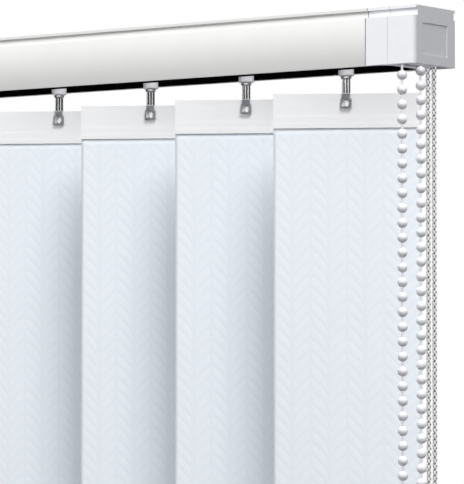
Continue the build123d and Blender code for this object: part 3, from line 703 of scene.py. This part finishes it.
# ---------------------------------------------------------------- operators
class BLIND_OT_stage(bpy.types.Operator):
    """Set up the camera, the soft studio light and the plain pale floor"""

    bl_idname = "blind.stage"
    bl_label = "Stage"

    def execute(self, context):
        look = context.scene.blind_stage
        camera_data = bpy.data.cameras.new("camera")
        camera_data.lens = look.lens
        camera_data.clip_start, camera_data.clip_end = 0.05, 60.0
        camera = bpy.data.objects.new("camera", camera_data)
        context.scene.collection.objects.link(camera)
        level = math.cos(look.camera_pitch)
        ahead = Vector(
            (
                -math.sin(look.camera_yaw) * level,
                math.cos(look.camera_yaw) * level,
                math.sin(look.camera_pitch),
            )
        )
        camera.location = look.camera_place
        camera.rotation_euler = ahead.to_track_quat("-Z", "Y").to_euler()
        context.scene.camera = camera

        # large soft boxes high on the camera's side, one for the rail and one for what hangs from it, an
        # upright strip to each side of the camera, and the light of a window behind. Each has its turn
        # from the camera and its rise in degrees, its width and height, and its power.
        lights = (
            ("key", -18, 50, 2.2, 1.2, look.key_power),
            ("vane_key", 24, 54, 1.0, 1.2, look.vane_key_power),
            ("strip_left", -46, 16, 0.5, 0.9, look.strip_power),
            ("strip_right", 50, 16, 0.4, 0.9, 0.12 * look.strip_power),
            ("window", 170, 35, 2.2, 1.6, look.window_power),
        )
        for name, turn_from_camera, rise_above, width, height, power in lights:
            turn, rise = look.camera_yaw + math.radians(turn_from_camera), math.radians(rise_above)
            light_data = bpy.data.lights.new(name, "AREA")
            light_data.shape = "RECTANGLE"
            light_data.size, light_data.size_y = width, height
            light_data.energy = power
            light = bpy.data.objects.new(name, light_data)
            context.scene.collection.objects.link(light)
            away = Vector(
                (math.sin(turn) * math.cos(rise), -math.cos(turn) * math.cos(rise), math.sin(rise))
            )
            light.location = look.light_distance * away + Vector(look.light_target)
            light.rotation_euler = (-away).to_track_quat("-Z", "Y").to_euler()

        # sky: bright above and dim below for the light, plain white as the backdrop
        world = bpy.data.worlds.new("studio")
        context.scene.world = world
        world.use_nodes = True
        tree = world.node_tree
        tree.nodes.clear()
        sky = add_node(tree, "ShaderNodeTexCoord").outputs["Generated"]
        direction = add_node(tree, "ShaderNodeSeparateXYZ", {"Vector": sky})
        # through clear plastic the backdrop is bright straight on, with black cards to its sides
        straight = add_node(tree, "ShaderNodeVectorMath", {0: sky, 1: ahead}, operation="DOT_PRODUCT")
        # each gradient: what it follows, the two ends of that, and the strength at each end
        height, cards = (
            add_node(
                tree,
                "ShaderNodeMapRange",
                {"Value": value, "From Min": low, "From Max": high, "To Min": dim, "To Max": bright},
            )
            for value, low, high, dim, bright in (
                (direction.outputs["Z"], -0.6, 0.7, 0.04, 0.74),
                (straight.outputs["Value"], 0.9, 0.965, 0.01, 1.15),
            )
        )
        rays = add_node(tree, "ShaderNodeLightPath")
        light, through, backdrop = (
            add_node(tree, "ShaderNodeBackground", {"Color": linear("#FFFFFF"), "Strength": strength})
            for strength in (height, cards, 1.0)
        )
        around = add_node(
            tree, "ShaderNodeMixShader", {0: rays.outputs["Is Transmission Ray"], 1: light, 2: through}
        )
        seen = rays.outputs["Is Camera Ray"]
        mixed = add_node(tree, "ShaderNodeMixShader", {0: seen, 1: around, 2: backdrop})
        add_node(tree, "ShaderNodeOutputWorld", {"Surface": mixed})
        context.scene.view_settings.view_transform = "Standard"

        # floor: a wide disc below the vanes
        build = bmesh.new()
        bmesh.ops.create_circle(build, cap_ends=True, segments=128, radius=look.floor_radius)
        floor_mesh = bpy.data.meshes.new("floor")
        build.to_mesh(floor_mesh)
        build.free()
        floor_mesh.materials.append(studio_floor())
        floor = bpy.data.objects.new("floor", floor_mesh)
        floor.location = (0, 0, VANE_FOOT - look.floor_drop)
        floor.visible_diffuse = False
        context.scene.collection.objects.link(floor)
        return {"FINISHED"}


class BLIND_OT_bead_chain(bpy.types.Operator):
    """Make the bead chain: round beads on a string, in one loop over the sprocket and its weight"""

    bl_idname = "blind.bead_chain"
    bl_label = "Bead chain"

    def execute(self, context):
        look = context.scene.blind_chain
        # Down the front run, round the weight's wheel, up the back run and over the sprocket.
        # The fourth number is a point's pull: the corners round a wheel pull twice as hard.
        route = (
            (0.2395, -0.01754, -0.0345, 1),
            (0.2395, -0.01754, -0.6640, 1),
            (0.2395, -0.01754, -0.71014, 2),
            (0.2395, 0.00274, -0.71014, 2),
            (0.2395, 0.00274, -0.6640, 1),
            (0.2395, 0.00274, -0.0555, 1),
            (0.2395, 0.00274, -0.00936, 2),
            (0.2395, -0.01754, -0.00936, 2),
            (0.2395, -0.01754, -0.0345, 1),
        )
        line, length = spline_points("chain_route", route, look.sampling)
        count = round(length / look.bead_pitch)
        along = np.linspace(0, length, len(line))
        at = (look.first_bead + np.arange(count) * length / count) % length
        centres = np.stack([np.interp(at, along, line[:, k]) for k in range(3)], axis=1)
        build = bmesh.new()
        bmesh.ops.create_uvsphere(build, u_segments=20, v_segments=14, radius=look.bead_diameter / 2)
        ball = np.array([v.co for v in build.verts], float)
        rounds = [tuple(v.index for v in face.verts) for face in build.faces]
        build.free()
        points, faces = tube(line, look.string_diameter / 2, 8)
        points = list(points)
        for centre in centres:
            first = len(points)
            points.extend(ball + centre)
            faces.extend(tuple(first + i for i in face) for face in rounds)
        mesh = mesh_from("bead_chain", points, faces)
        chain = link("bead_chain_beads", mesh, moulded_bead_plastic(), "rail")
        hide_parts("bead_chain")
        return {"FINISHED"}


class BLIND_OT_traverse_cord(bpy.types.Operator):
    """Make the endless braided cord that draws the vanes across"""

    bl_idname = "blind.traverse_cord"
    bl_label = "Traverse cord"

    def execute(self, context):
        look = context.scene.blind_cord
        # Down from the front pulley, round the weight's wheel, up to the back pulley, along the rail,
        # round the return pulley and back. The fourth number is a point's pull, as on the chain.
        route = (
            (0.2395, 0.0109, -0.0345, 1),
            (0.2395, 0.0109, -0.7632, 1),
            (0.2395, 0.0109, -0.7833, 2),
            (0.2395, 0.0175, -0.7833, 2),
            (0.2395, 0.0175, -0.7632, 1),
            (0.2395, 0.0175, -0.0308, 1),
            (0.2395, 0.0175, -0.0140, 2),
            (0.2227, 0.0175, -0.0140, 1),
            (-0.2057, 0.0175, -0.0140, 1),
            (-0.2258, 0.0175, -0.0140, 2),
            (-0.2258, 0.0109, -0.0140, 2),
            (-0.2057, 0.0109, -0.0140, 1),
            (0.2227, 0.0109, -0.0140, 1),
            (0.2395, 0.0109, -0.0140, 2),
            (0.2395, 0.0109, -0.0345, 1),
        )
        line, _ = spline_points("cord_route", route, look.sampling)
        # the runs inside the rail don't show, so they keep every other point
        rail_foot = -0.03
        inside = (line[:, 2] > rail_foot) & (np.arange(len(line)) % 2 == 1)
        line = line[~inside]
        along = np.concatenate([[0], np.cumsum(np.linalg.norm(np.diff(line, axis=0), axis=1))])
        a, b = carried_frames(line)
        strand_radius = look.diameter * 0.2
        middle_radius = look.diameter / 2 - strand_radius
        turns = 2 * math.pi * along / look.braid_pitch
        points, faces, heights = [], [], []

        def add(part_line, radius, sides):
            ring_points, ring_faces = tube(part_line, radius, sides, len(points))
            centres = np.repeat(line, sides, axis=0)
            points.extend(ring_points)
            faces.extend(ring_faces)
            heights.extend(np.linalg.norm(ring_points - centres, axis=1) / (look.diameter / 2))

        add(line, middle_radius * 0.8, 6)
        for way in (-1, 1):
            for k in range(look.strands):
                turn = way * turns + 2 * math.pi * k / look.strands
                # each strand passes over and under those that go the other way
                weave = np.sin(look.strands * turns + way * math.pi / 2)
                reach = middle_radius + strand_radius * (0.1 + 0.4 * weave)
                strand = line + reach[:, None] * (np.cos(turn)[:, None] * a + np.sin(turn)[:, None] * b)
                add(strand, strand_radius, 4)
        mesh = mesh_from("traverse_cord", points, faces)
        # how far out each point stands from the axis, which sets the painted shade in the valleys between
        # the strands
        crest = mesh.attributes.new("strand_crest", "FLOAT", "POINT")
        crest.data.foreach_set("value", np.clip((np.array(heights, np.float32) - 0.62) / 0.4, 0, 1))
        cord = link("traverse_cord_braid", mesh, braided_polyester(), "rail")
        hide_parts("traverse_cord")
        return {"FINISHED"}


class BLIND_OT_finishes(bpy.types.Operator):
    """Give the rail, end pieces, carriers, drive and hangers their materials"""

    bl_idname = "blind.finishes"
    bl_label = "Rail and moulded parts"

    def execute(self, context):
        finishes = {
            powder_coated_aluminium: ("head_rail",),
            extruded_black_pvc: ("track_liner_",),
            moulded_abs: ("far_end_cap", "control_", "chain_weight", "cord_weight"),
            moulded_acetal: (
                "carrier_",
                "worm_",
                "spacer_",
                "chain_sprocket",
                "cord_pulley_",
                "return_pulley",
            ),
            extruded_hanger_pvc: ("hanger_",),
            drawn_aluminium: ("tilt_rod",),
            zinc_plated_steel: ("vane_weight_", "return_pulley_pin"),
        }
        for make, starts in finishes.items():
            material = make()
            for name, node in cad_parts.items():
                if name.startswith(starts):
                    node.data.materials.clear()
                    node.data.materials.append(material)
        return {"FINISHED"}


class BLIND_OT_stems(bpy.types.Operator):
    """Make the clear stems: gear and shaft, flare, ribbed neck, and the clip that holds the hanger"""

    bl_idname = "blind.stems"
    bl_label = "Clear stems"

    def execute(self, context):
        look = context.scene.blind_stem
        clear = clear_polycarbonate()
        upright = Matrix.Rotation(math.pi / 2, 4, "X")
        # three round ribs down the front of the neck and three down its back
        front = []
        for u in np.linspace(0, 1, 31):
            valley = 1 - abs(math.sin(3 * math.pi * u)) ** 0.7
            front.append(((u - 0.5) * look.neck_width, -look.neck_depth / 2 + look.rib_depth * valley))
        neck = front + [(-x, -y) for x, y in front]
        # each tooth of the gear: its two root corners and two tip corners, in degrees from its middle
        root, tip, shaft, gear_height = 2.4 * MM, 3.1 * MM, 2 * MM, 5 * MM
        teeth = 12
        gear = []
        for k in range(teeth):
            for off, radius in ((-9, root), (-5, tip), (5, tip), (9, root)):
                turn = math.radians(360 / teeth * k + off)
                gear.append((radius * math.cos(turn), radius * math.sin(turn)))
        for number in VANES:
            low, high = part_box(f"stem_{number}")
            collar_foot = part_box(f"carrier_{number}")[0].z
            hanger_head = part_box(f"hanger_{number}")[1].z
            flare_head = collar_foot - look.flare_gap
            flare_foot = flare_head - look.flare_height
            gear_foot = high.z - gear_height
            jaw_head = hanger_head + 0.4 * MM
            clip_middle = low.z + look.clip_height / 2
            jaw_middle = (jaw_head + low.z) / 2
            jaw_height = jaw_head - low.z
            clip_head = clip_middle + look.clip_height / 2
            jaw_back = look.jaw_gap + look.jaw_thickness / 2
            clip_depth = 1.45 * MM
            # the clip's outline, then its openings: an upright slot, a window and a round hole
            clip = [
                rounded(look.clip_width, look.clip_height, 0.8 * MM),
                rounded(1.5 * MM, 3.9 * MM, 0.4 * MM, -1.75 * MM, 0.3 * MM),
                rounded(1.6 * MM, 1.5 * MM, 0.4 * MM, 0.9 * MM, 1.2 * MM),
                ring(0.8 * MM, 16, 0.5 * MM, -1.2 * MM),
            ]
            front_jaw = [rounded(look.neck_width, jaw_head - clip_head, 0.4 * MM)]
            back_jaw = [rounded(look.neck_width, jaw_height, 0.4 * MM)]
            # each round part: its outlines, eased edge, foot and head
            parts = [
                (outlines, head - foot, edge, Matrix.Translation((0, 0, (foot + head) / 2)))
                for outlines, edge, foot, head in (
                    ([gear], 0.1 * MM, gear_foot, high.z),
                    ([ring(shaft)], 0.05 * MM, flare_head, gear_foot),
                    ([ring(look.flare_radius)], 0.55 * MM, flare_foot, flare_head),
                    ([neck], 0.1 * MM, jaw_head, flare_foot),
                )
            ]
            # each flat part: its outlines, thickness, eased edge, depth and height
            parts += [
                (outlines, thick, edge, Matrix.Translation((0, depth, height)) @ upright)
                for outlines, thick, edge, depth, height in (
                    (clip, clip_depth, 0.35 * MM, -look.jaw_gap - clip_depth / 2, clip_middle),
                    (front_jaw, look.jaw_thickness, 0.15 * MM, -jaw_back, (jaw_head + clip_head) / 2),
                    (back_jaw, look.jaw_thickness, 0.15 * MM, jaw_back, jaw_middle),
                )
            ]
            points, faces = [], []
            for outlines, thick, edge, place in parts:
                first = len(points)
                part_points, part_faces = moulding(outlines, thick, edge, place)
                points.extend(part_points)
                faces.extend(tuple(first + i for i in face) for face in part_faces)
            mesh = bpy.data.meshes.new(f"clear_stem_{number}")
            mesh.from_pydata([tuple(p) for p in points], [], faces)
            mesh.update()
            body = f"vane_unit_{number}"
            stem = link(f"clear_stem_{number}", mesh, clear, body, hung_place(number))
            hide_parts(f"stem_{number}")
        return {"FINISHED"}


class BLIND_OT_vanes(bpy.types.Operator):
    """Make the fabric vanes, each with the sewn pocket for its weight"""

    bl_idname = "blind.vanes"
    bl_label = "Vanes"

    def execute(self, context):
        look = context.scene.blind_fabric
        fabric = jacquard_polyester()
        thread = braided_polyester()
        half = look.thickness / 2
        pocket_top = VANE_FOOT + look.pocket_height
        bend = look.pocket_half - half
        # Side view of the cloth from head to foot and back up to the seam, as (depth, height). Depth is
        # towards the room, and the cloth bends round the foot of the weight in a half turn.
        drop = [(0.0, z) for z in np.linspace(FABRIC_HEAD, pocket_top + 4 * MM, 90)]
        drop += [(bend * 0.5, pocket_top + 2 * MM), (bend, pocket_top - 1 * MM)]
        drop += [(bend, z) for z in np.linspace(pocket_top - 4 * MM, VANE_FOOT + look.pocket_half, 8)]
        drop += [
            (bend * math.cos(t), VANE_FOOT + half + bend * (1 - math.sin(t)))
            for t in np.linspace(0.3, math.pi - 0.3, 7)
        ]
        drop += [(-bend, z) for z in np.linspace(VANE_FOOT + look.pocket_half, pocket_top - 4 * MM, 8)]
        drop += [(-bend, pocket_top - 1 * MM), (-half * 2.1, pocket_top + 2.5 * MM)]
        drop = np.array(drop)
        columns = np.linspace(-VANE_WIDTH / 2, VANE_WIDTH / 2, 41)
        for number in VANES:
            # a stiffened vane still hangs with a slow sway of a fraction of a millimetre
            phase = 1.7 * number
            rows = []
            for depth, height in drop:
                fall = (FABRIC_HEAD - height) / (FABRIC_HEAD - VANE_FOOT)
                free = min(1.0, max(0.0, fall - 0.02) * 8) * min(1.0, max(0.0, 0.94 - fall) * 12)
                for x in columns:
                    share = x / (VANE_WIDTH / 2)
                    sway = look.sway * math.sin(2.2 * share + phase) * math.sin(5 * fall + phase)
                    curl = look.curl * (share**2 - 0.4) * math.sin(2 * fall + 0.5 * phase)
                    rows.append((x, -depth + free * (sway + curl), height))
            wide = len(columns)
            faces = [
                (i * wide + k, i * wide + k + 1, (i + 1) * wide + k + 1, (i + 1) * wide + k)
                for i in range(len(drop) - 1)
                for k in range(wide - 1)
            ]
            mesh = mesh_from(f"vane_cloth_{number}", rows, faces)
            body, place = f"vane_unit_{number}", hung_place(number)
            vane = link(f"vane_cloth_{number}", mesh, fabric, body, place)
            thick = vane.modifiers.new("thickness", "SOLIDIFY")
            thick.thickness = look.thickness
            thick.offset = 0.0
            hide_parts(f"vane_{number}")

            # lock stitches across the head of the pocket, each a low arch on the cloth
            points, faces = [], []
            share = np.linspace(0, 1, 6)
            reach = VANE_WIDTH / 2 - look.stitch_pitch
            for x in np.arange(-reach, reach, look.stitch_pitch):
                arc = np.stack(
                    [
                        x + look.stitch_length * share,
                        -0.32 * MM - 0.16 * MM * np.sin(math.pi * share),
                        np.full(len(share), pocket_top + 4.5 * MM),
                    ],
                    axis=1,
                )
                part, rims = tube(arc, look.thread_diameter / 2, 6, len(points))
                points.extend(part)
                faces.extend(rims)
            stitches = mesh_from(f"vane_seam_{number}", points, faces)
            # the stitches take the crest colour all over, without the cord's painted shade
            crest = stitches.attributes.new("strand_crest", "FLOAT", "POINT")
            crest.data.foreach_set("value", [1.0] * len(points))
            seam = link(f"vane_seam_{number}", stitches, thread, body, place)
        return {"FINISHED"}


class BLIND_OT_shadows(bpy.types.Operator):
    """Flag the lights: what each one reaches, and what throws its shadow. Run this last"""

    bl_idname = "blind.shadows"
    bl_label = "Shadows"

    def execute(self, context):
        pieces = [piece for piece in context.scene.objects if piece.type == "MESH"]
        vanes = ("vane_", "hanger_", "spacer_", "clear_stem_")
        hung = vanes + ("carrier_", "bead_chain", "chain_weight", "traverse_cord", "cord_weight")
        groups = {
            "hung": [piece for piece in pieces if piece.name.startswith(hung)],
            "fixed": [piece for piece in pieces if not piece.name.startswith(hung)],
            "vanes": [piece for piece in pieces if piece.name.startswith(vanes)],
            "off_rail": [piece for piece in pieces if not piece.name.startswith(("head_rail", "track_"))],
        }
        for name, members in groups.items():
            groups[name] = bpy.data.collections.new(name)
            for piece in members:
                groups[name].objects.link(piece)
        # each light: the pieces it reaches, and those that throw its shadow, which is all of them for None
        flags = {
            "key": ("fixed", None),
            "vane_key": ("hung", "vanes"),
            "strip_left": ("off_rail", "off_rail"),
            "strip_right": ("off_rail", "off_rail"),
        }
        for light, (reached, blockers) in flags.items():
            linking = bpy.data.objects[light].light_linking
            linking.receiver_collection = groups[reached]
            linking.blocker_collection = groups.get(blockers)
        return {"FINISHED"}


# ---------------------------------------------------------------- panel and registration
class BLIND_PT_panel(bpy.types.Panel):
    """Lists the blind's settings and its operators"""

    bl_idname = "BLIND_PT_panel"
    bl_label = "Vertical blind"
    bl_space_type = "VIEW_3D"
    bl_region_type = "UI"
    bl_category = "Blind"

    def draw(self, context):
        for group in SETTINGS:
            settings = getattr(context.scene, group)
            column = self.layout.column()
            for name in settings.__annotations__:
                column.prop(settings, name)
        for operator in OPERATORS:
            self.layout.operator(operator.bl_idname)


SETTINGS = {
    "blind_fabric": BlindFabricSettings,
    "blind_chain": BlindChainSettings,
    "blind_cord": BlindCordSettings,
    "blind_stem": BlindStemSettings,
    "blind_rail": BlindRailSettings,
    "blind_stage": BlindStageSettings,
}
OPERATORS = (
    BLIND_OT_stage,
    BLIND_OT_bead_chain,
    BLIND_OT_traverse_cord,
    BLIND_OT_finishes,
    BLIND_OT_stems,
    BLIND_OT_vanes,
    BLIND_OT_shadows,
)


def register():
    """Register the settings, operators and panel."""
    for name, settings in SETTINGS.items():
        bpy.utils.register_class(settings)
        setattr(bpy.types.Scene, name, bpy.props.PointerProperty(type=settings))
    for operator in OPERATORS:
        bpy.utils.register_class(operator)
    bpy.utils.register_class(BLIND_PT_panel)


def unregister():
    """Take away what register added."""
    bpy.utils.unregister_class(BLIND_PT_panel)
    for operator in reversed(OPERATORS):
        bpy.utils.unregister_class(operator)
    for name, settings in reversed(SETTINGS.items()):
        delattr(bpy.types.Scene, name)
        bpy.utils.unregister_class(settings)


def main():
    """Build every piece in order."""
    register()
    bpy.ops.blind.stage()
    bpy.ops.blind.bead_chain()
    bpy.ops.blind.traverse_cord()
    bpy.ops.blind.finishes()
    bpy.ops.blind.stems()
    bpy.ops.blind.vanes()
    bpy.ops.blind.shadows()


if __name__ == "__main__":
    main()
